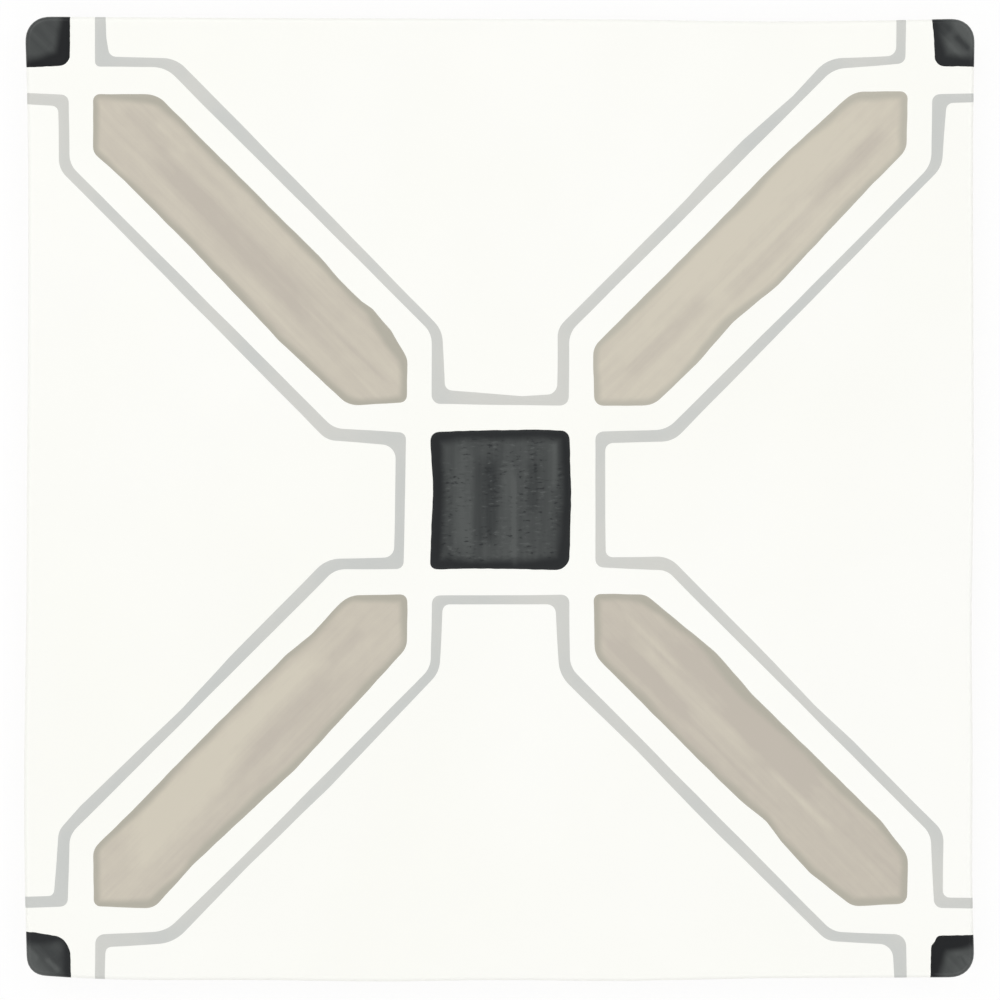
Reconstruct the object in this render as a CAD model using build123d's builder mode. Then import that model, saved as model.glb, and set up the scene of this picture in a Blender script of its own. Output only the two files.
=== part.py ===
"""One square glazed ceramic wall tile, lying on its keyed back with its face up."""

import os

from build123d import *

# Overall size in mm
WIDTH = 197.0  # between the straight lines of the left and right sides, along X
LENGTH = 200.0  # between those of the foot and the head of the pattern, along Y
THICKNESS = 8.5  # from the back to the glazed face, along Z

# Rounding of the corners in plan
HEAD_LEFT_R = 4.7
HEAD_RIGHT_R = 4.4
FOOT_RIGHT_R = 4.7
FOOT_LEFT_R = 3.7

# Edges
FACE_EDGE_R = 1.0  # the roll of the face into the sides
BACK_EDGE = 0.5  # the small break round the back

# Firing leaves the sides a little uneven. Each list says how far that side falls
# short of its straight line, at even steps from one corner to the next.
LEFT_DIPS = (0.6, 0.0, 0.0, 0.4, 0.5, 0.7, 0.8, 0.7, 0.0)  # foot to head
HEAD_DIPS = (0.0, 0.2, 0.3, 0.4, 0.5, 0.6, 1.0, 0.9, 0.4)  # left to right
RIGHT_DIPS = (0.0, 0.4, 0.4, 0.3, 0.3, 0.7, 0.5, 0.6, 0.0)  # head to foot
FOOT_DIPS = (0.9, 0.8, 0.6, 0.1, 0.3, 0.0, 0.3, 0.3, 1.5)  # right to left

# Key on the back: a grid of shallow pockets inside a plain border
KEY_BORDER = 6.0  # land left round the pockets
KEY_RIB = 3.0  # land left between two pockets
KEY_COLUMNS = 8
KEY_ROWS = 8
KEY_DEPTH = 0.8
KEY_CORNER_R = 2.0

# The pockets share out the back evenly
pocket_width = (WIDTH - 2 * KEY_BORDER - (KEY_COLUMNS - 1) * KEY_RIB) / KEY_COLUMNS
pocket_length = (LENGTH - 2 * KEY_BORDER - (KEY_ROWS - 1) * KEY_RIB) / KEY_ROWS

half_width = WIDTH / 2
half_length = LENGTH / 2

# The four corners before they are rounded, clockwise from the foot's left end
foot_left = Vector(-half_width + LEFT_DIPS[0], -half_length + FOOT_DIPS[-1])
head_left = Vector(-half_width + LEFT_DIPS[-1], half_length - HEAD_DIPS[0])
head_right = Vector(half_width - RIGHT_DIPS[0], half_length - HEAD_DIPS[-1])
foot_right = Vector(half_width - RIGHT_DIPS[-1], -half_length + FOOT_DIPS[0])
corners = (
    (foot_left, FOOT_LEFT_R),
    (head_left, HEAD_LEFT_R),
    (head_right, HEAD_RIGHT_R),
    (foot_right, FOOT_RIGHT_R),
)


def uneven_side(start, end, inward, dips):
    """Draw one side from corner to corner, through the dips between them."""
    last = len(dips) - 1
    points = [start]
    for step in range(1, last):
        share = step / last
        straight = dips[0] + (dips[last] - dips[0]) * share
        points.append(start + (end - start) * share + inward * (dips[step] - straight))
    points.append(end)
    Spline(*points)


with BuildPart() as tile:
    # Slab
    with BuildSketch(Plane.XY):
        with BuildLine():
            uneven_side(foot_left, head_left, Vector(1, 0), LEFT_DIPS)
            uneven_side(head_left, head_right, Vector(0, -1), HEAD_DIPS)
            uneven_side(head_right, foot_right, Vector(-1, 0), RIGHT_DIPS)
            uneven_side(foot_right, foot_left, Vector(0, 1), FOOT_DIPS)
        make_face()
    extrude(amount=THICKNESS)

    # Corners and edges
    for corner, radius in corners:
        fillet(tile.edges().filter_by(Axis.Z).sort_by_distance(corner)[0], radius)
    fillet(tile.faces().sort_by(Axis.Z)[-1].edges(), FACE_EDGE_R)
    chamfer(tile.faces().sort_by(Axis.Z)[0].edges(), BACK_EDGE)

    # Key
    with BuildSketch(Plane.XY):
        with GridLocations(pocket_width + KEY_RIB, pocket_length + KEY_RIB, KEY_COLUMNS, KEY_ROWS):
            RectangleRounded(pocket_width, pocket_length, KEY_CORNER_R)
    extrude(amount=KEY_DEPTH, mode=Mode.SUBTRACT)

tile.part.label = "tile"
os.makedirs("parts", exist_ok=True)
export_step(tile.part, "parts/tile.step")
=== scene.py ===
"""A square wall tile: a fired clay body, a white ground glaze and thirteen painted fields."""

import math

import bpy
import numpy as np
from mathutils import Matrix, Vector
from mathutils.geometry import delaunay_2d_cdt
from mathutils.kdtree import KDTree


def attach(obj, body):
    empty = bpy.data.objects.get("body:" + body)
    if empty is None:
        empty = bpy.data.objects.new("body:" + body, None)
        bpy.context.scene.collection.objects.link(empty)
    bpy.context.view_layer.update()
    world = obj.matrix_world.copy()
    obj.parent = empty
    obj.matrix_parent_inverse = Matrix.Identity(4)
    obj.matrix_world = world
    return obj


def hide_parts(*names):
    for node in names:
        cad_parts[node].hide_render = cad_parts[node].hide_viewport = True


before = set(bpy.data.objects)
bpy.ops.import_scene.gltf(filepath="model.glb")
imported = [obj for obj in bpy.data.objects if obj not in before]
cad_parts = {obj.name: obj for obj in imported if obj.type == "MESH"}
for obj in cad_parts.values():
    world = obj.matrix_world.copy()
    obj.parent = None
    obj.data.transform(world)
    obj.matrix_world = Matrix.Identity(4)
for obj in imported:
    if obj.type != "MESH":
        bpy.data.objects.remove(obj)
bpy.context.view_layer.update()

MM = 0.001

# The tile as the frame has it, in mm
cad_points = np.array([vertex.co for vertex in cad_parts["tile"].data.vertices]) / MM
TOP = cad_points[:, 2].max()
FACE_EDGE_R = 1.0  # the roll of the face into the sides
BACK_EDGE = 0.5  # the break round the back
KEY_DEPTH = 0.8  # of the pockets in the back
KEY_CORNER_R = 2.0  # of the pockets in plan
QUARTER_TURN = math.pi / 2
ROLL = QUARTER_TURN * FACE_EDGE_R  # the way round the rolled edge
LEVEL_MATCH = 0.01  # how near a point of the frame lies to the level it is looked for at

# The coat of glaze, in mm
GLAZE = 0.25  # thickness
GROUND_SINK = 0.12  # the ground lies this far under the highest point of the face
SIDE_SINK = 0.03  # and this far inside the straight sides
PAINT = 0.065  # how far a painted field stands above the ground
PAINT_SLOPE = 0.5  # how far in from its contour it reaches that height
SIDE_PAINT = 0.25  # the share of that height left on the sides
RIM_BEAD = 0.018  # how much more it stands along its rim
BEAD_DEPTH = 0.8  # how far in from the contour the top of that bead lies
BEAD_WIDTH = 0.4
WAVE = 0.014  # slow unevenness of the face
WAVE_LENGTHS = (34, 47, 61, 83)
STRAY = 0.03  # how far a brush strays from a field's contour
GLAZE_DROP = 1.9  # how far the glaze runs down the sides, on average
GLAZE_WANDER = 0.55  # how far its lower line strays
HEM = 0.45  # the last stretch of glaze, which thins to its lower line
BODY_GAP = 0.13  # the bare body stands this far inside the tile's box

# Spacing of the mesh, in mm
OUTLINE_STEP = 1.0  # round the tile
CONTOUR_STEP = 0.5  # round a painted field
FIELD_STEP = 0.55  # within it
GROUND_STEP = 1.55  # on the ground
RIM_RINGS = (0.18, 0.42)  # how far inside a contour its extra rings of points lie
RIM_RING_KEEPS = 0.9  # the share of that distance which they keep from every contour
GROUND_RING = 0.5  # how far outside a contour the ground has a ring
GROUND_RING_KEEPS = 0.8  # and the share of it which that ring keeps
FIELD_CLEARANCE = 0.75  # between a contour and the points that fill its field
GROUND_CLEARANCE = 1.0  # between a contour and those that fill the ground
JITTER = 0.08  # the share of a step by which the points that fill a loop stray
CORNER_SHARE = 0.49  # the most of its shorter side that the rounding of a corner takes
STRAIGHT = 0.001  # radians, and a corner that turns by less than twice this isn't rounded
ROLL_RINGS = 7  # rings of points round the rolled edge
POCKET_POINTS = 7  # points round a corner of a pocket in the back
SHARP_ANGLE = 38  # degrees from which an edge isn't shaded smooth
CHUNK = 1500  # points measured at a time

# For the triangulation
KEEP_INSIDE = 1  # it leaves out what lies outside the outlines
SAME_POINT = 1e-5  # points nearer than this are one

rng = np.random.default_rng(11)

# The painted fields. Each corner is (x, y, rounding) in mm from the middle of the
# tile, with the head of the pattern towards +Y. The lines and the corner fields run
# on past the face and down the sides.
BARS = {
    "bar_head_left": [
        (-84.2, 83.8, 1.4), (-71.0, 83.8, 5.5), (-46.0, 58.8, 12.0), (-37.4, 50.3, 3.0),
        (-33.0, 45.2, 4.0), (-28.6, 40.9, 3.0), (-26.4, 39.4, 3.0), (-22.5, 34.9, 6.0),
        (-19.1, 29.0, 4.0), (-19.3, 20.0, 1.4), (-31.3, 19.3, 5.5), (-45.5, 32.6, 12.0),
        (-64.1, 52.2, 12.0), (-78.1, 66.3, 12.0), (-84.2, 71.8, 2.5),
    ],
    "bar_head_right": [
        (84.5, 84.4, 1.5), (84.2, 72.3, 4.0), (76.7, 64.7, 8.0), (57.6, 44.3, 12.0),
        (48.4, 36.7, 8.0), (40.6, 27.8, 8.0), (31.7, 19.3, 6.0), (19.6, 19.3, 1.8),
        (19.3, 31.4, 4.0), (29.2, 41.3, 12.0), (39.1, 51.1, 12.0), (57.6, 70.0, 12.0),
        (73.2, 84.3, 5.5),
    ],
    "bar_foot_left": [
        (-84.0, -84.3, 1.4), (-84.2, -72.5, 3.5), (-74.5, -62.9, 8.0), (-62.1, -50.1, 12.0),
        (-43.9, -32.0, 8.0), (-38.9, -27.9, 8.0), (-31.6, -20.0, 6.0), (-19.1, -19.7, 1.4),
        (-19.2, -30.7, 4.0), (-27.0, -39.3, 8.0), (-42.3, -55.9, 12.0), (-63.6, -75.8, 8.0),
        (-71.7, -84.8, 3.5),
    ],
    "bar_foot_right": [
        (19.4, -19.6, 1.4), (30.2, -19.8, 3.5), (44.9, -31.9, 12.0), (52.3, -40.5, 12.0),
        (60.5, -48.5, 12.0), (78.9, -66.6, 8.0), (84.5, -73.8, 4.0), (84.3, -83.7, 1.8),
        (73.1, -84.4, 4.0), (64.1, -77.3, 8.0), (58.1, -70.7, 5.0), (55.3, -66.8, 2.5),
        (50.2, -62.8, 12.0), (40.5, -53.3, 12.0), (19.7, -32.4, 4.5),
    ],
}
LINES = {
    "line_head": [
        (-83.8, 106.2, 0.0), (-83.8, 89.5, 1.0), (-69.2, 89.4, 6.5), (-14.1, 34.4, 5.0),
        (-14.1, 19.7, 1.8), (14.3, 19.3, 1.8), (14.4, 34.4, 5.5), (69.1, 89.0, 6.5),
        (84.0, 90.2, 1.6), (84.2, 106.2, 0.0), (82.2, 106.2, 0.0), (82.1, 91.7, 1.9),
        (67.9, 91.2, 7.5), (60.6, 83.4, 4.0), (50.3, 74.3, 4.0), (43.3, 67.2, 4.0),
        (38.9, 62.3, 4.0), (12.0, 35.4, 4.5), (11.9, 21.7, 2.1), (4.6, 21.3, 8.3),
        (-11.3, 22.6, 1.4), (-11.9, 34.9, 6.0), (-40.5, 64.3, 12.0), (-67.0, 91.2, 6.5),
        (-80.8, 91.6, 1.5), (-81.5, 95.5, 6.0), (-81.8, 106.2, 0.0),
    ],
    "line_left": [
        (-105.1, -84.8, 0.0), (-89.4, -84.4, 1.6), (-89.0, -69.5, 5.0), (-34.1, -14.6, 5.0),
        (-19.9, -14.5, 1.5), (-19.4, 13.7, 1.4), (-34.4, 14.7, 5.0), (-89.1, 69.3, 5.0),
        (-89.2, 83.7, 1.6), (-105.1, 84.4, 0.0), (-105.1, 82.1, 0.0), (-91.4, 81.4, 1.4),
        (-91.2, 68.3, 5.0), (-35.8, 12.2, 5.0), (-21.5, 11.1, 2.9), (-21.9, -12.1, 2.1),
        (-35.8, -12.4, 7.0), (-56.4, -33.2, 5.0), (-65.6, -43.2, 8.0), (-86.8, -63.5, 6.0),
        (-91.3, -68.7, 4.0), (-92.3, -82.2, 1.2), (-105.1, -82.5, 0.0),
    ],
    "line_right": [
        (105.2, 84.1, 0.0), (89.5, 83.8, 1.6), (89.4, 69.2, 6.0), (62.1, 41.6, 12.0),
        (34.6, 14.4, 6.0), (19.8, 13.9, 1.6), (19.8, -14.1, 1.6), (34.6, -14.8, 4.0),
        (89.2, -69.3, 5.0), (89.9, -84.7, 1.7), (105.2, -84.8, 0.0), (105.2, -82.6, 0.0),
        (91.7, -82.5, 1.4), (91.9, -69.0, 5.0), (73.0, -50.0, 8.0), (65.1, -42.6, 6.0),
        (57.0, -34.0, 8.0), (35.0, -11.9, 6.0), (21.9, -12.1, 1.4), (21.8, 11.6, 1.6),
        (35.9, 11.9, 6.0), (91.5, 68.7, 6.0), (92.5, 82.0, 1.4), (105.2, 82.3, 0.0),
    ],
    "line_foot": [
        (84.4, -106.2, 0.0), (84.1, -90.2, 2.5), (68.9, -89.6, 5.0), (14.5, -34.8, 5.0),
        (14.4, -19.8, 1.6), (-14.0, -20.0, 1.6), (-14.3, -34.9, 5.0), (-40.4, -61.3, 4.0),
        (-49.7, -70.6, 8.0), (-69.0, -89.5, 7.0), (-83.7, -90.2, 1.9), (-83.9, -106.2, 0.0),
        (-81.9, -106.2, 0.0), (-81.6, -92.8, 1.2), (-67.5, -91.9, 8.0), (-52.2, -76.1, 8.0),
        (-35.3, -59.7, 8.0), (-12.5, -35.9, 6.0), (-11.8, -21.8, 1.4), (11.5, -21.8, 1.8),
        (12.3, -36.5, 7.0), (28.0, -51.7, 8.0), (39.9, -64.1, 12.0), (67.7, -91.5, 4.5),
        (81.2, -92.3, 2.9), (82.2, -106.2, 0.0),
    ],
}
BLACKS = {
    "square_centre": [
        (-14.5, 13.8, 1.9), (-9.0, 14.1, 8.0), (8.0, 14.4, 10.0), (14.4, 14.1, 1.8),
        (14.8, 1.5, 12.0), (14.4, -14.8, 2.9), (8.0, -14.6, 10.0), (-5.0, -14.4, 10.0),
        (-14.5, -14.6, 1.3), (-13.8, 2.5, 12.0),
    ],
    "corner_head_left": [
        (-88.9, 106.2, 0.0), (-89.0, 89.7, 2.4), (-105.1, 89.1, 0.0), (-105.1, 106.2, 0.0),
    ],
    "corner_head_right": [
        (105.2, 89.4, 0.0), (90.1, 89.6, 2.0), (89.9, 95.0, 3.0), (88.9, 106.2, 0.0),
        (105.2, 106.2, 0.0),
    ],
    "corner_foot_left": [
        (-105.1, -89.2, 0.0), (-96.5, -89.7, 8.0), (-90.7, -90.6, 3.0), (-88.9, -93.3, 4.0),
        (-88.6, -106.2, 0.0), (-105.1, -106.2, 0.0),
    ],
    "corner_foot_right": [
        (89.0, -106.2, 0.0), (89.3, -92.5, 0.5), (90.0, -91.6, 1.5), (90.6, -90.4, 1.0),
        (105.2, -90.1, 0.0), (105.2, -106.2, 0.0),
    ],
}


# Loops of points in plan


def resample(loop, step):
    """The same closed loop with even steps."""
    closed = np.vstack([loop, loop[:1]])
    way = np.concatenate([[0], np.cumsum(np.linalg.norm(np.diff(closed, axis=0), axis=1))])
    count = max(8, round(way[-1] / step))
    at = np.arange(count) * way[-1] / count
    return np.stack([np.interp(at, way, closed[:, axis]) for axis in (0, 1)], axis=1)


def counterclockwise(loop):
    """The loop in the order that keeps its inside on the left."""
    x, y = loop.T
    turns_left = (x * np.roll(y, -1) - np.roll(x, -1) * y).sum() > 0
    return loop if turns_left else loop[::-1]


def outward(loop):
    """The outward normal at each point of a counterclockwise loop."""
    along = np.roll(loop, -1, axis=0) - np.roll(loop, 1, axis=0)
    normal = np.stack([along[:, 1], -along[:, 0]], axis=1)
    return normal / np.linalg.norm(normal, axis=1)[:, None]


def rounded(corners):
    """Points round a field whose corners are (x, y, rounding)."""
    places = [np.array(corner[:2]) for corner in corners]
    points = []
    for index, corner in enumerate(corners):
        here, rounding = places[index], corner[2]
        back = places[index - 1] - here
        ahead = places[(index + 1) % len(corners)] - here
        back_length, ahead_length = np.linalg.norm(back), np.linalg.norm(ahead)
        back, ahead = back / back_length, ahead / ahead_length
        half_angle = math.acos(np.clip(back @ ahead, -1, 1)) / 2
        if rounding == 0 or half_angle > QUARTER_TURN - STRAIGHT:
            points.append(here)
            continue
        most = CORNER_SHARE * min(back_length, ahead_length)
        cut = min(rounding / math.tan(half_angle), most)
        radius = cut * math.tan(half_angle)
        middle = (back + ahead) / np.linalg.norm(back + ahead)
        centre = here + middle * radius / math.sin(half_angle)
        first = math.atan2(*(here + back * cut - centre)[::-1])
        last = math.atan2(*(here + ahead * cut - centre)[::-1])
        sweep = (last - first + math.pi) % (2 * math.pi) - math.pi
        pieces = max(2, int(abs(sweep) * radius / CONTOUR_STEP) + 1)
        for angle in first + sweep * np.linspace(0, 1, pieces + 1):
            points.append(centre + radius * np.array([math.cos(angle), math.sin(angle)]))
    return np.array(points)


def waver(count, size, waves=(3, 5, 8, 13, 21)):
    """A smooth random run of numbers round a loop, about as large as size."""
    turn = np.arange(count) / count * 2 * math.pi
    total = sum(np.sin(turn * wave + rng.uniform(0, 2 * math.pi)) for wave in waves)
    return total * size / math.sqrt(len(waves))


def brushed(loop):
    """The loop with the slight stray of a brush."""
    stray = waver(len(loop), STRAY, waves=(7, 11, 18, 29, 41))
    return loop + outward(loop) * stray[:, None]


def nearest(points, loop):
    """How far each point is from a closed loop, and where on it the nearest place is.

    The place is a point's number in the loop plus the share of the way to the next.
    """
    step = np.roll(loop, -1, axis=0) - loop
    square = (step**2).sum(1)
    distances, places = [], []
    for start in range(0, len(points), CHUNK):
        offset = points[start : start + CHUNK, None] - loop
        share = np.clip((offset * step).sum(2) / square, 0, 1)
        gap = ((offset - share[..., None] * step) ** 2).sum(2)
        best = gap.argmin(1)
        rows = np.arange(len(best))
        distances.append(np.sqrt(gap[rows, best]))
        places.append(best + share[rows, best])
    return np.concatenate(distances), np.concatenate(places)


def read_at(values, places):
    """Values given at the points of a closed loop, read at places between them."""
    index = places.astype(int) % len(values)
    share = (places % 1)[:, None]
    return values[index] * (1 - share) + values[(index + 1) % len(values)] * share


def inside(points, loop):
    """Whether each point is inside a closed loop."""
    x0, y0 = loop.T
    x1, y1 = np.roll(loop, -1, axis=0).T
    rise = np.where(y1 == y0, 1, y1 - y0)
    answer = []
    for start in range(0, len(points), CHUNK):
        x, y = points[start : start + CHUNK].T[:, :, None]
        crosses = (y0 > y) != (y1 > y)
        left = x < (x1 - x0) * (y - y0) / rise + x0
        answer.append((crosses & left).sum(1) % 2 == 1)
    return np.concatenate(answer)


def honeycomb(loop, step):
    """Points in nearly even triangles that fill a closed loop."""
    low, high = loop.min(0), loop.max(0)
    row_step = step * math.sqrt(0.75)
    rows = []
    for row, y in enumerate(np.arange(low[1], high[1], row_step)):
        x = np.arange(low[0] + (row % 2) * step / 2, high[0], step)
        rows.append(np.stack([x, np.full(len(x), y)], axis=1))
    points = np.concatenate(rows)
    points += rng.uniform(-JITTER, JITTER, points.shape) * step
    return points[inside(points, loop)]


def smooth(value, low, high):
    """0 below low, 1 above high, and an even curve between them."""
    share = np.clip((value - low) / (high - low), 0, 1)
    return share * share * (3 - 2 * share)


# The tile's outline, read from the frame where the sides meet the rolled edge


def tile_outline():
    """The outline in plan, in even steps and a little smoothed."""
    at_roll = abs(cad_points[:, 2] - (TOP - FACE_EDGE_R)) < LEVEL_MATCH
    ring = np.unique(cad_points[at_roll, :2].round(3), axis=0)
    ring = ring[np.argsort(np.arctan2(ring[:, 1], ring[:, 0]))]
    ring = resample(ring, OUTLINE_STEP)
    return (np.roll(ring, 1, axis=0) + 2 * ring + np.roll(ring, -1, axis=0)) / 4


outline = tile_outline()
outline_normal = outward(outline)
face_loop = outline - outline_normal * FACE_EDGE_R
hem_reach = ROLL + GLAZE_DROP + waver(len(outline), GLAZE_WANDER)[:, None]
hem_loop = face_loop + outline_normal * hem_reach

# The glaze is meshed in an unrolled plan, in which the rolled edge and the glazed
# stretch of the sides lie flat round the face


def field_loops():
    """The outline of each painted field in the unrolled plan."""
    loops = {}
    for fields in (BARS, LINES, BLACKS):
        for name, corners in fields.items():
            loop = resample(counterclockwise(rounded(corners)), CONTOUR_STEP)
            loops[name] = brushed(loop)
    return loops


def free_points(loops):
    """Points that fill the ground and the fields, clear of every contour."""
    everywhere = np.concatenate(list(loops.values()))
    tree = KDTree(len(everywhere))
    for index, (x, y) in enumerate(everywhere):
        tree.insert((x, y, 0), index)
    tree.balance()

    def clear(points, gap):
        far = [tree.find((x, y, 0))[2] > gap for x, y in points]
        return points[np.array(far)]

    found = []
    for loop in loops.values():
        normal = outward(loop)
        for depth in RIM_RINGS:
            found.append(clear(loop - normal * depth, depth * RIM_RING_KEEPS))
        found.append(clear(honeycomb(loop, FIELD_STEP), FIELD_CLEARANCE))
    ground = honeycomb(face_loop, GROUND_STEP)
    for loop in loops.values():
        ground = ground[~inside(ground, resample(loop, 4 * CONTOUR_STEP))]
    found.append(clear(ground, GROUND_CLEARANCE))
    for loop in loops.values():
        ring = (loop + outward(loop) * GROUND_RING)[::2]
        found.append(clear(ring[inside(ring, face_loop)], GROUND_RING * GROUND_RING_KEEPS))
    return np.concatenate(found)


def triangulate(loops):
    """Triangles over the unrolled plan, and for each the field it is in, or the ground."""
    rolls = [face_loop + outline_normal * ROLL * share for share in np.linspace(0, 1, ROLL_RINGS)]
    rolls.append(face_loop + outline_normal * (hem_reach - HEM))
    points = [hem_loop]
    edges = []
    faces = [list(range(len(hem_loop)))]
    count = len(hem_loop)
    for loop in rolls:
        numbers = np.arange(len(loop)) + count
        edges += list(zip(numbers.tolist(), np.roll(numbers, -1).tolist()))
        points.append(loop)
        count += len(loop)
    for loop in loops.values():
        faces.append(list(range(count, count + len(loop))))
        points.append(loop)
        count += len(loop)
    points.append(free_points(loops))
    flat = [Vector(point) for point in np.concatenate(points)]
    plan, _, triangles, _, _, owners = delaunay_2d_cdt(
        flat, edges, faces, KEEP_INSIDE, SAME_POINT
    )
    names = ["ground_glaze", *loops]
    parts = {name: [] for name in names}
    for triangle, owner in zip(triangles, owners):
        if 0 in owner:
            parts[names[max(owner)]].append(triangle)
    return np.array([tuple(point) for point in plan]), parts


loops = field_loops()
plan, parts = triangulate(loops)

# Where each point of the unrolled plan lies on the tile
gap, place = nearest(plan, face_loop)
beyond = np.where(inside(plan, face_loop), 0, gap)
foot = read_at(face_loop, place)
facing = read_at(outline_normal, place)
facing /= np.linalg.norm(facing, axis=1)[:, None]


def lay(height):
    """Each point of the plan on the tile's surface, so far above it."""
    turn = np.minimum(beyond / FACE_EDGE_R, QUARTER_TURN)
    down = np.maximum(beyond - ROLL, 0)
    flat = beyond == 0
    reach = (FACE_EDGE_R + height) * np.sin(turn)
    rolled = foot + facing * reach[:, None]
    place_xy = np.where(flat[:, None], plan, rolled)
    level = TOP - FACE_EDGE_R + (FACE_EDGE_R + height) * np.cos(turn) - down
    return np.column_stack([place_xy, level])


# Relief of the glaze


def rims(loops):
    """How far each point of the plan is inside its field's contour, 0 on the ground."""
    rim = np.zeros(len(plan))
    for name, loop in loops.items():
        numbers = np.unique(parts[name])
        rim[numbers] = nearest(plan[numbers], loop)[0]
    return rim


def swell(points):
    """Slow waves over the face, from -1 to 1."""
    total = np.zeros(len(points))
    for length in WAVE_LENGTHS:
        angle = rng.uniform(0, math.pi)
        direction = np.array([math.cos(angle), math.sin(angle)])
        total += np.sin(points @ direction / length * 2 * math.pi + rng.uniform(0, 6))
    return total / len(WAVE_LENGTHS)


rim = rims(loops)
hem = nearest(plan, hem_loop)[0]
on_side = smooth(beyond, 0, ROLL)
sink = GROUND_SINK + (SIDE_SINK - GROUND_SINK) * on_side
bead = RIM_BEAD * np.exp(-(((rim - BEAD_DEPTH) / BEAD_WIDTH) ** 2)) * (rim > 0)
paint = PAINT * smooth(rim, 0, PAINT_SLOPE) + bead
paint *= 1 - (1 - SIDE_PAINT) * on_side
relief = WAVE * swell(plan) * (1 - on_side) - sink + paint
thinned = (BODY_GAP - SIDE_SINK) * (1 - smooth(hem, 0, HEM)) * (beyond > ROLL)
outer_face = lay(relief - thinned)
inner_face = lay(relief - thinned - GLAZE)


# Pieces


def new_piece(name, points, faces, material):
    """A mesh piece of the tile, in place of its CAD solid."""
    mesh = bpy.data.meshes.new(name)
    mesh.from_pydata((points * MM).tolist(), [], faces)
    mesh.update()
    for polygon in mesh.polygons:
        polygon.use_smooth = True
    mesh.set_sharp_from_angle(angle=math.radians(SHARP_ANGLE))
    mesh.materials.append(material)
    piece = bpy.data.objects.new(name, mesh)
    bpy.context.collection.objects.link(piece)
    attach(piece, "root")
    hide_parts("tile")
    return piece


# How each field was painted. Strokes run the way of its aim, in degrees from +X, and
# are measured from the middle of the tile, or from the field's own where one is given.
AIMS = {
    "bar_head_left": 135, "bar_head_right": 45, "bar_foot_left": 225, "bar_foot_right": 315,
    "square_centre": 90, "corner_head_left": 135, "corner_head_right": 135,
    "corner_foot_left": 135, "corner_foot_right": 135,
}
PLAIN_AIM = 90  # where no aim is given
MIDDLES = {
    "corner_head_left": (-94.0, 94.5), "corner_head_right": (94.0, 94.5),
    "corner_foot_left": (-94.0, -94.5), "corner_foot_right": (94.0, -94.5),
}

# How light each field is, from 0 to 1
TONES = {
    "bar_head_left": 0.56, "bar_head_right": 0.84, "bar_foot_left": 0.52, "bar_foot_right": 0.28,
    "square_centre": 0.58, "corner_head_left": 0.58, "corner_head_right": 0.58,
    "corner_foot_left": 0.52, "corner_foot_right": 0.66,
}

# The plainest streaks: (across, half width, first, last, shade), which is how far across
# the strokes its middle is, where it starts and ends along them, and how much it lightens
STREAKS = {
    "bar_head_left": [
        (0.3, 2.3, 51, 104, -0.55), (-2.6, 1.6, 98, 113, -0.35), (2.0, 1.5, 42, 62, -0.2),
        (-0.4, 0.5, 33, 58, -0.3), (-4.8, 0.5, 96, 106, 0.3),
    ],
    "bar_head_right": [
        (4.0, 2.4, 55, 112, 0.2), (-2.6, 1.9, 86, 112, -0.5), (-3.4, 1.6, 62, 90, -0.35),
        (-0.6, 1.8, 34, 62, -0.45), (-1.5, 0.45, 58, 96, 0.4), (1.2, 0.5, 36, 52, 0.25),
        (-6.2, 0.7, 50, 100, 0.2), (6.2, 1.6, 70, 106, 0.35),
    ],
    "bar_foot_left": [
        (-4.4, 2.3, 44, 108, 0.6), (1.0, 1.5, 46, 84, -0.4), (4.5, 2.6, 40, 110, -0.12),
        (-1.0, 1.2, 38, 50, -0.3), (-0.2, 1.9, 70, 110, 0.5),
    ],
    "bar_foot_right": [
        (-0.9, 1.2, 38, 78, 0.45), (0.0, 0.6, 78, 98, 0.35), (1.5, 0.5, 33, 52, 0.4),
        (4.8, 2.5, 43, 92, -0.5), (-4.2, 2.0, 34, 62, -0.35), (2.2, 1.1, 62, 92, -0.25),
    ],
    "square_centre": [
        (7.5, 1.9, -12, 13, 0.32), (2.6, 2.0, -11, 10, -0.4), (-2.2, 1.5, -16, 9, 0.28),
        (-3.0, 0.4, -18, 6, 0.4), (-11.4, 0.6, 1, 13, 0.35), (-6.9, 1.4, -4, 9, -0.25),
    ],
    "corner_head_right": [
        (-3.9, 1.6, -7, 4, 0.55), (-1.2, 0.6, -3.8, 1.2, -0.4), (0.7, 0.7, -4.6, 1.4, 0.3),
        (-0.6, 1.4, 1.6, 7, -0.35),
    ],
    "corner_foot_left": [
        (3.7, 1.5, -5, 5, 0.6), (2.0, 0.8, 0.2, 6, 0.5), (0.4, 0.4, -5, 0, 0.45),
        (-1.1, 1.0, -4, 3, -0.25),
    ],
    "corner_foot_right": [(0.0, 4.5, -9, -1, 0.15), (-0.7, 0.25, -4.2, -0.6, -0.4)],
}
STREAK_CORE = 0.4  # the share of its half width across which it is at its full strength
STREAK_REACH = 1.6  # and that at which it is gone
STREAK_ENDS = 0.2  # the share of its length in which it fades at each end

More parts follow.
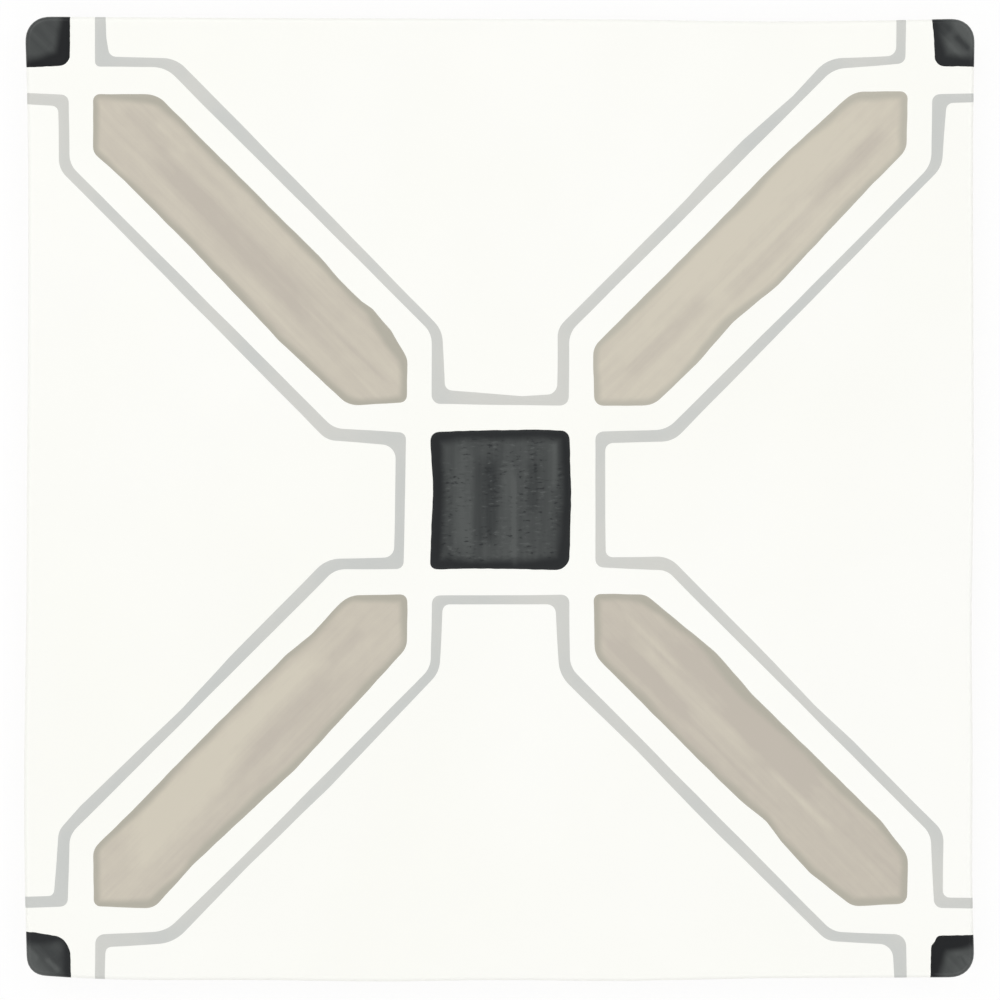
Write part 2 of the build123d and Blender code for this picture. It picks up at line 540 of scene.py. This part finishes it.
# Where colour pools at the rim: (x, y, reach, how much wider the rim is)
POOLS = {
    "bar_head_left": [(-23, 34, 10, 1.2), (-72, 83.5, 7, 0.3), (-20, 21, 6, 0.3)],
    "bar_head_right": [(78, 84, 9, 0.4), (46, 34, 16, 0.5), (84, 74, 6, 0.4)],
    "bar_foot_left": [(-52, -66, 20, 0.5), (-70, -82, 7, 0.4), (-26, -20, 8, 0.3)],
    "bar_foot_right": [(50, -37, 16, 0.9), (31, -20.5, 5, 0.9), (70, -60, 14, 0.5)],
    "square_centre": [
        (-14, 9, 9, 1.0), (-14, 0, 9, 1.0), (-14, -9, 9, 0.9), (14, 8, 9, 0.5),
        (14, -4, 9, 0.4), (12.5, -13, 8, 0.9), (3.1, -13.8, 1.3, -0.7),
    ],
    "corner_head_left": [(-89.2, 90.2, 9, 2.0), (-89.2, 98, 6, 0.5)],
    "corner_head_right": [(90.4, 90.2, 7, 1.3), (97, 90, 5, 0.3)],
    "corner_foot_left": [(-95.5, -90, 4.5, 1.2), (-90.3, -91.8, 2.5, -1.0)],
    "corner_foot_right": [(89.8, -91, 9, 2.3), (95, -90.4, 5, 0.9)],
}

# The colour that gathers at the rim, where it isn't that of the other fields of its kind
RIM_COLOURS = {
    "bar_head_right": (185, 181, 168), "corner_head_left": (12, 15, 18),
    "corner_foot_right": (12, 15, 18),
}


def pooled(points, pools):
    """How much wider the rim is at each point."""
    total = np.zeros(len(points))
    for x, y, reach, width in pools:
        total += width * (1 - smooth(np.hypot(points[:, 0] - x, points[:, 1] - y), 0, reach))
    return total


def streaked(across, along, tone, streaks):
    """A tone for each point, with streaks that fade at their sides and ends."""
    total = np.full(len(across), float(tone))
    for middle, half_width, first, last, shade in streaks:
        core, reach = half_width * STREAK_CORE, half_width * STREAK_REACH
        side = 1 - smooth(abs(across - middle), core, reach)
        fade = (last - first) * STREAK_ENDS
        ends = smooth(along, first, first + fade) * (1 - smooth(along, last - fade, last))
        total += shade * side * ends
    return total


def glaze_piece(name, material):
    """One closed sheet of glaze: its face, its underside and the wall round it.

    Its points keep where they are among the strokes of the brush, for the material: how
    far across the strokes, how far along them and how far in from the rim, in mm.
    """
    triangles = np.array(parts[name])
    numbers, flat = np.unique(triangles, return_inverse=True)
    triangles = flat.reshape(triangles.shape)
    half = len(numbers)
    edges = np.concatenate([triangles[:, [0, 1]], triangles[:, [1, 2]], triangles[:, [2, 0]]])
    known = set(map(tuple, edges.tolist()))
    faces = triangles.tolist()
    faces += (triangles[:, ::-1] + half).tolist()
    for a, b in edges.tolist():
        if (b, a) not in known:
            faces.append([b, a, a + half, b + half])
    points = np.concatenate([outer_face[numbers], inner_face[numbers]])
    piece = new_piece(name, points, faces, material)

    turn = math.radians(AIMS.get(name, PLAIN_AIM))
    spots = plan[numbers] - MIDDLES.get(name, (0, 0))
    across = spots @ (-math.sin(turn), math.cos(turn))
    along = spots @ (math.cos(turn), math.sin(turn))
    depth = rim[numbers] - pooled(plan[numbers], POOLS.get(name, ()))
    tone = streaked(across, along, TONES.get(name, 0), STREAKS.get(name, ()))
    strokes = np.column_stack([across, along, depth])
    keep = piece.data.attributes.new("strokes", "FLOAT_VECTOR", "POINT")
    keep.data.foreach_set("vector", np.tile(strokes, (2, 1)).ravel())
    keep = piece.data.attributes.new("tone", "FLOAT", "POINT")
    keep.data.foreach_set("value", np.tile(tone, 2))


# Materials

# Colours are as they show on a screen, from 0 to 255, and a pair is the two that the
# material drifts between
GROUND_COLOURS = ((251, 251, 245), (252, 252, 248))
GREY_COLOURS = ((200, 202, 199), (208, 208, 203))
TAUPE_COLOURS = ((191, 183, 171), (208, 201, 185))
TAUPE_RIM = (177, 173, 160)
BLACK_COLOURS = ((38, 41, 42), (80, 83, 82))
BLACK_RIM = (24, 27, 29)
CLAY_COLOURS = ((214, 200, 180), (226, 214, 196))
CLAY_SPECK = (196, 178, 154)
SATIN = 0.35  # roughness of the glaze
SATIN_DRIFT = 0.07  # how far it strays both ways
BLACK_MIRROR = 0.35  # the black glaze mirrors a little less than the others
CLAY_LIFT = 0.2  # mm, as the clay's noise would be fainter at level 0, where the back lies
SQUARE_MARKS = 1.3  # how strong the short marks are in the square
CORNER_MARKS = 0.1  # and in the corner fields
NOISE_APART = 10.0  # between the starts of two fields' noise, so that none is like another


def light(red, green, blue):
    """A screen colour as the light values Blender works in."""
    values = []
    for value in (red, green, blue):
        share = value / 255
        values.append(share / 12.92 if share <= 0.04045 else ((share + 0.055) / 1.055) ** 2.4)
    return (*values, 1.0)


class Finish:
    """A material's nodes, added one call at a time. A None input keeps its default."""

    def __init__(self, name, roughness):
        self.material = bpy.data.materials.new(name)
        self.material.use_nodes = True
        self.tree = self.material.node_tree
        self.shader = self.tree.nodes["Principled BSDF"]
        self.shader.inputs["Roughness"].default_value = roughness

    def node(self, kind, inputs=(), output=0, **settings):
        node = self.tree.nodes.new(kind)
        for key, value in settings.items():
            setattr(node, key, value)
        for index, value in enumerate(inputs):
            if isinstance(value, bpy.types.NodeSocket):
                self.tree.links.new(value, node.inputs[index])
            elif value is not None:
                node.inputs[index].default_value = value
        return node.outputs[output]

    def math(self, operation, a, b=None):
        return self.node("ShaderNodeMath", (a, b), operation=operation)

    def fade(self, value, low, high, first=0.0, last=1.0):
        """first below low, last above high, and an even curve between them."""
        inputs = (value, low, high, first, last)
        return self.node("ShaderNodeMapRange", inputs, interpolation_type="SMOOTHSTEP")

    def noise(self, place, scale, detail=2.0):
        return self.node("ShaderNodeTexNoise", (place, None, scale, detail))

    def colour(self, share, first, last):
        """The first colour at 0 and the last one at 1. Each is a screen colour or a socket."""
        ends = [light(*end) if isinstance(end, tuple) else end for end in (first, last)]
        inputs = (share, None, None, None, None, None, *ends)
        return self.node("ShaderNodeMix", inputs, output=2, data_type="RGBA")

    def attribute(self, name, output):
        node = self.tree.nodes.new("ShaderNodeAttribute")
        node.attribute_name = name
        return node.outputs[output]

    def object_place(self):
        return self.node("ShaderNodeTexCoord", output=3)

    def strokes(self):
        """The three numbers kept with each point: across, along and in from the rim."""
        node = self.tree.nodes.new("ShaderNodeSeparateXYZ")
        self.tree.links.new(self.attribute("strokes", "Vector"), node.inputs[0])
        return node.outputs

    def brush(self, across, along, start, width, length, strength=1.0):
        """Noise about zero in patches of that width and length, in mm.

        Another start gives other patches.
        """
        wide = self.math("MULTIPLY", across, 1 / width)
        long = self.math("MULTIPLY", along, 1 / length)
        place = self.node("ShaderNodeCombineXYZ", (wide, long, start))
        about_zero = self.math("SUBTRACT", self.noise(place, 1.0, 3.0), 0.5)
        return self.math("MULTIPLY", about_zero, strength)

    def set(self, name, socket):
        self.tree.links.new(socket, self.shader.inputs[name])

    def bump(self, height, strength, distance):
        """distance is in mm."""
        node = self.tree.nodes.new("ShaderNodeBump")
        node.inputs["Strength"].default_value = strength
        node.inputs["Distance"].default_value = distance * MM
        self.tree.links.new(height, node.inputs["Height"])
        self.set("Normal", node.outputs[0])


def add_gloss(finish, place):
    """Gloss that drifts over the surface, and the fine pitting of a fired glaze."""
    drift = finish.noise(place, 55.0, 3.0)
    low, high = SATIN - SATIN_DRIFT, SATIN + SATIN_DRIFT
    finish.set("Roughness", finish.fade(drift, 0.2, 0.8, low, high))
    orange_peel = finish.noise(place, 420.0)
    finish.bump(orange_peel, strength=0.12, distance=0.05)


def ground_finish():
    """White ground glaze, a shade warmer in slow clouds."""
    finish = Finish("ground_glaze", SATIN)
    place = finish.object_place()
    share = finish.fade(finish.noise(place, 16.0), 0.2, 0.8)
    finish.set("Base Color", finish.colour(share, *GROUND_COLOURS))
    add_gloss(finish, place)
    return finish.material


def grey_finish():
    """Pale grey of the lines, a little uneven in small patches."""
    finish = Finish("grey_glaze", SATIN)
    place = finish.object_place()
    share = finish.fade(finish.noise(place, 45.0, 3.0), 0.3, 0.7)
    finish.set("Base Color", finish.colour(share, *GREY_COLOURS))
    add_gloss(finish, place)
    return finish.material


def gathered(finish, depth, wander, low, high):
    """0 on the rim where the colour gathers and 1 inside it, with an uneven border."""
    patch = finish.noise(finish.object_place(), 80.0)
    inner = finish.math("SUBTRACT", depth, finish.math("MULTIPLY", patch, wander))
    return finish.fade(inner, low, high)


def taupe_finish(name, start, rim_colour):
    """Brushed taupe: streaks along the bar, and the colour gathered darker at the rim."""
    finish = Finish(name, SATIN)
    across, along, depth = finish.strokes()
    broad = finish.brush(across, along, start, width=2.6, length=42, strength=1.1)
    hair = finish.brush(across, along, start + 5, width=0.7, length=14, strength=0.5)
    cloud = finish.brush(across, along, start + 9, width=2.0, length=3.5, strength=0.5)
    streak = finish.math("ADD", broad, finish.math("ADD", hair, cloud))
    tone = finish.math("ADD", finish.attribute("tone", "Fac"), streak)
    body = finish.colour(tone, *TAUPE_COLOURS)
    share = gathered(finish, depth, wander=2.0, low=-0.6, high=1.1)
    finish.set("Base Color", finish.colour(share, rim_colour, body))
    add_gloss(finish, finish.object_place())
    return finish.material


def black_finish(name, start, rim_colour, marks):
    """Brushed charcoal: streaks, short marks across them, and a dense dark rim."""
    finish = Finish(name, SATIN)
    finish.shader.inputs["Specular IOR Level"].default_value = BLACK_MIRROR
    across, along, depth = finish.strokes()
    broad = finish.brush(across, along, start, width=2.2, length=26, strength=0.9)
    tone = finish.math("ADD", finish.attribute("tone", "Fac"), broad)

    # Raised to the third power, only the strongest of the noise shows, as lone marks
    mottle = finish.brush(across, along, start + 5, width=1.6, length=0.6, strength=5.0)
    lone = finish.math("POWER", mottle, 3.0)
    patches = finish.brush(across, along, start + 9, width=3.0, length=6.0)
    cluster = finish.fade(patches, -0.15, 0.15)
    speck = finish.math("MULTIPLY", lone, finish.math("MULTIPLY", cluster, marks))
    tone = finish.math("ADD", tone, speck)

    body = finish.colour(tone, *BLACK_COLOURS)
    share = gathered(finish, depth, wander=1.6, low=-0.2, high=2.2)
    finish.set("Base Color", finish.colour(share, rim_colour, body))
    add_gloss(finish, finish.object_place())
    return finish.material


def biscuit_finish():
    """Bare fired clay, matt and grainy."""
    finish = Finish("biscuit", 0.85)
    lifted = (finish.object_place(), (0, 0, CLAY_LIFT * MM))
    place = finish.node("ShaderNodeVectorMath", lifted, operation="ADD")
    cloud = finish.noise(place, 40.0, 4.0)
    grain = finish.noise(place, 1600.0, 4.0)
    share = finish.fade(cloud, 0.3, 0.7)
    clay = finish.colour(share, *CLAY_COLOURS)
    speck = finish.fade(grain, 0.30, 0.42)
    finish.set("Base Color", finish.colour(speck, CLAY_SPECK, clay))
    finish.set("Roughness", finish.fade(grain, 0.3, 0.7, 0.78, 0.92))
    finish.bump(grain, strength=0.5, distance=0.12)
    return finish.material


# The fired body


class Shell:
    """Points and faces of a closed surface, gathered ring by ring."""

    def __init__(self):
        self.points = []
        self.faces = []
        self.count = 0

    def rings(self, loop, steps):
        """Rings of points joined by faces: the loop grown so far outwards, at that level.

        Returns the numbers of the first ring's points and of the last one's.
        """
        size = len(loop)
        normal = outward(loop)
        first = self.count
        for grow, level in steps:
            self.points.append(np.column_stack([loop + normal * grow, np.full(size, level)]))
            self.count += size
        for low in range(first, self.count - size, size):
            for index in range(size):
                ahead = (index + 1) % size
                face = [low + index, low + ahead, low + size + ahead, low + size + index]
                self.faces.append(face)
        return list(range(first, first + size)), list(range(self.count - size, self.count))


def pocket_spans(values):
    """Where each pocket starts and ends one way. Its points are all at its rounded corners."""
    values = np.sort(values)
    breaks = np.flatnonzero(np.diff(values) > KEY_CORNER_R / 2)
    starts = values[np.concatenate([[0], breaks + 1])]
    ends = values[np.concatenate([breaks, [len(values) - 1]])]
    return list(zip(starts[0::2], ends[1::2]))


def pocket_loops():
    """The outline of each key pocket on the back, read from the frame."""
    floor = cad_points[abs(cad_points[:, 2] - KEY_DEPTH) < LEVEL_MATCH]
    loops = []
    for left, right in pocket_spans(floor[:, 0]):
        for near, far in pocket_spans(floor[:, 1]):
            points = []
            corners = ((right, far, 0), (left, far, 1), (left, near, 2), (right, near, 3))
            for x, y, quarter in corners:
                middle_x = x - KEY_CORNER_R if x == right else x + KEY_CORNER_R
                middle_y = y - KEY_CORNER_R if y == far else y + KEY_CORNER_R
                for angle in (quarter + np.linspace(0, 1, POCKET_POINTS)) * QUARTER_TURN:
                    reach = KEY_CORNER_R * np.array([math.cos(angle), math.sin(angle)])
                    points.append(np.array([middle_x, middle_y]) + reach)
            loops.append(np.array(points))
    return loops


LID = TOP - GROUND_SINK - GLAZE * 0.8  # level of the body's lid, within the coat of glaze

# Each step is how far the ring is grown outwards, and its level
SIDE_STEPS = [
    (-BACK_EDGE - 0.2, 0.0), (-BACK_EDGE, 0.03), (-0.1, 0.42), (0.0, 0.62),
    (0.0, TOP - FACE_EDGE_R), (-0.3, TOP - 0.5), (-FACE_EDGE_R, LID),
]
POCKET_STEPS = [
    (-0.35, KEY_DEPTH), (-0.1, KEY_DEPTH - 0.06), (0.0, KEY_DEPTH - 0.25),
    (0.0, 0.22), (0.12, 0.05), (0.35, 0.0),
]


def fired_body():
    """Points and faces of the body: back with its key, sides, and a lid under the glaze."""
    shell = Shell()
    side_steps = [(grow - BODY_GAP, level) for grow, level in SIDE_STEPS]
    used, lid = shell.rings(outline, side_steps)
    shell.faces.append(lid)
    borders = [list(range(len(used)))]
    for loop in pocket_loops():
        floor, edge = shell.rings(loop, POCKET_STEPS)
        shell.faces.append(floor[::-1])
        borders.append(list(range(len(used), len(used) + len(edge))))
        used += edge
    points = np.concatenate(shell.points)

    # The land between the pockets
    flat = [Vector(points[number, :2]) for number in used]
    _, _, triangles, sources, _, owners = delaunay_2d_cdt(
        flat, [], borders, KEEP_INSIDE, SAME_POINT
    )
    for triangle, owner in zip(triangles, owners):
        if owner == [0]:
            shell.faces.append([used[sources[corner][0]] for corner in reversed(triangle)])
    return points, shell.faces


# Build

points, faces = fired_body()
new_piece("biscuit", points, faces, biscuit_finish())
glaze_piece("ground_glaze", ground_finish())
grey = grey_finish()
for name in LINES:
    glaze_piece(name, grey)
for order, name in enumerate(BARS):
    rim_colour = RIM_COLOURS.get(name, TAUPE_RIM)
    material = taupe_finish(f"taupe_glaze_{order}", NOISE_APART * order, rim_colour)
    glaze_piece(name, material)
for order, name in enumerate(BLACKS):
    rim_colour = RIM_COLOURS.get(name, BLACK_RIM)
    marks = SQUARE_MARKS if name == "square_centre" else CORNER_MARKS
    start = NOISE_APART * order
    material = black_finish(f"black_glaze_{order}", start, rim_colour, marks)
    glaze_piece(name, material)


# Studio

FLOOR_SIZE = 12.0  # metres
BACKDROP_SHARE = 0.9  # how much of the floor near the tile reads as a white backdrop
BACKDROP_FROM = 0.2  # metres from the tile where that share starts to grow
BACKDROP_FULL = 1.5  # and where all of the floor is backdrop
WORLD_STRENGTH = 0.5
LAMP_ELEVATION = 48  # degrees
LAMP_DISTANCE = 1.7  # metres
LAMP_SIZE = 1.1  # metres
# Each lamp is (name, azimuth in degrees from +X, watts)
LAMPS = (
    ("key", 125, 6.9),
    ("fill", -55, 5.2),
    ("left", 215, 5.2),
    ("right", 35, 5.2),
)

# Camera, straight above the tile as in the photograph
LENS = 200.0
SENSOR = 36.0
PICTURE_WIDTH = 207.0  # mm across the picture at the level of the face
PICTURE_MIDDLE = (0.05, -0.207)  # mm from the middle of the tile


def white_floor():
    """A white floor that reads as white to the eye and still takes the tile's shadow."""
    bpy.ops.mesh.primitive_plane_add(size=FLOOR_SIZE)
    floor = bpy.context.object
    floor.name = "floor"
    finish = Finish("floor", 0.9)
    finish.shader.inputs["Base Color"].default_value = (1, 1, 1, 1)
    finish.shader.inputs["Specular IOR Level"].default_value = 0.0
    ray = finish.node("ShaderNodeLightPath", output=0)
    away = finish.node("ShaderNodeVectorMath", (finish.object_place(),), 1, operation="LENGTH")
    backdrop = finish.fade(away, BACKDROP_FROM, BACKDROP_FULL, BACKDROP_SHARE, 1.0)
    share = finish.math("MULTIPLY", ray, backdrop)
    white = finish.node("ShaderNodeEmission", ((1, 1, 1, 1), 1.0))
    mixed = finish.node("ShaderNodeMixShader", (share, finish.shader.outputs[0], white))
    finish.tree.links.new(mixed, finish.tree.nodes["Material Output"].inputs["Surface"])
    floor.data.materials.append(finish.material)


def soft_lamp(name, azimuth, watts):
    """A square softbox that points at the tile."""
    turn, rise = math.radians(azimuth), math.radians(LAMP_ELEVATION)
    lamp_data = bpy.data.lights.new(name, "AREA")
    lamp_data.size = LAMP_SIZE
    lamp_data.energy = watts
    lamp = bpy.data.objects.new(name, lamp_data)
    level = math.cos(rise)
    away = Vector((math.cos(turn) * level, math.sin(turn) * level, math.sin(rise)))
    lamp.location = away * LAMP_DISTANCE
    lamp.rotation_euler = away.to_track_quat("Z", "Y").to_euler()
    lamp.visible_camera = False
    bpy.context.collection.objects.link(lamp)


def studio_world():
    """Even light from all round, which the camera sees as white."""
    world = bpy.data.worlds.new("studio")
    bpy.context.scene.world = world
    world.use_nodes = True
    nodes, links = world.node_tree.nodes, world.node_tree.links
    back = nodes["Background"]
    back.inputs["Color"].default_value = (1, 1, 1, 1)
    back.inputs["Strength"].default_value = WORLD_STRENGTH
    white = nodes.new("ShaderNodeBackground")
    white.inputs["Color"].default_value = (1, 1, 1, 1)
    ray = nodes.new("ShaderNodeLightPath")
    mixed = nodes.new("ShaderNodeMixShader")
    links.new(ray.outputs["Is Camera Ray"], mixed.inputs[0])
    links.new(back.outputs[0], mixed.inputs[1])
    links.new(white.outputs[0], mixed.inputs[2])
    links.new(mixed.outputs[0], nodes["World Output"].inputs["Surface"])


white_floor()
studio_world()
for lamp in LAMPS:
    soft_lamp(*lamp)

camera_data = bpy.data.cameras.new("camera")
camera_data.lens = LENS
camera_data.sensor_width = SENSOR
camera_data.clip_start = 0.01
camera_data.clip_end = 50
camera = bpy.data.objects.new("camera", camera_data)
camera.location = Vector((*PICTURE_MIDDLE, TOP + PICTURE_WIDTH * LENS / SENSOR)) * MM
bpy.context.collection.objects.link(camera)
scene = bpy.context.scene
scene.camera = camera
scene.view_settings.view_transform = "Standard"
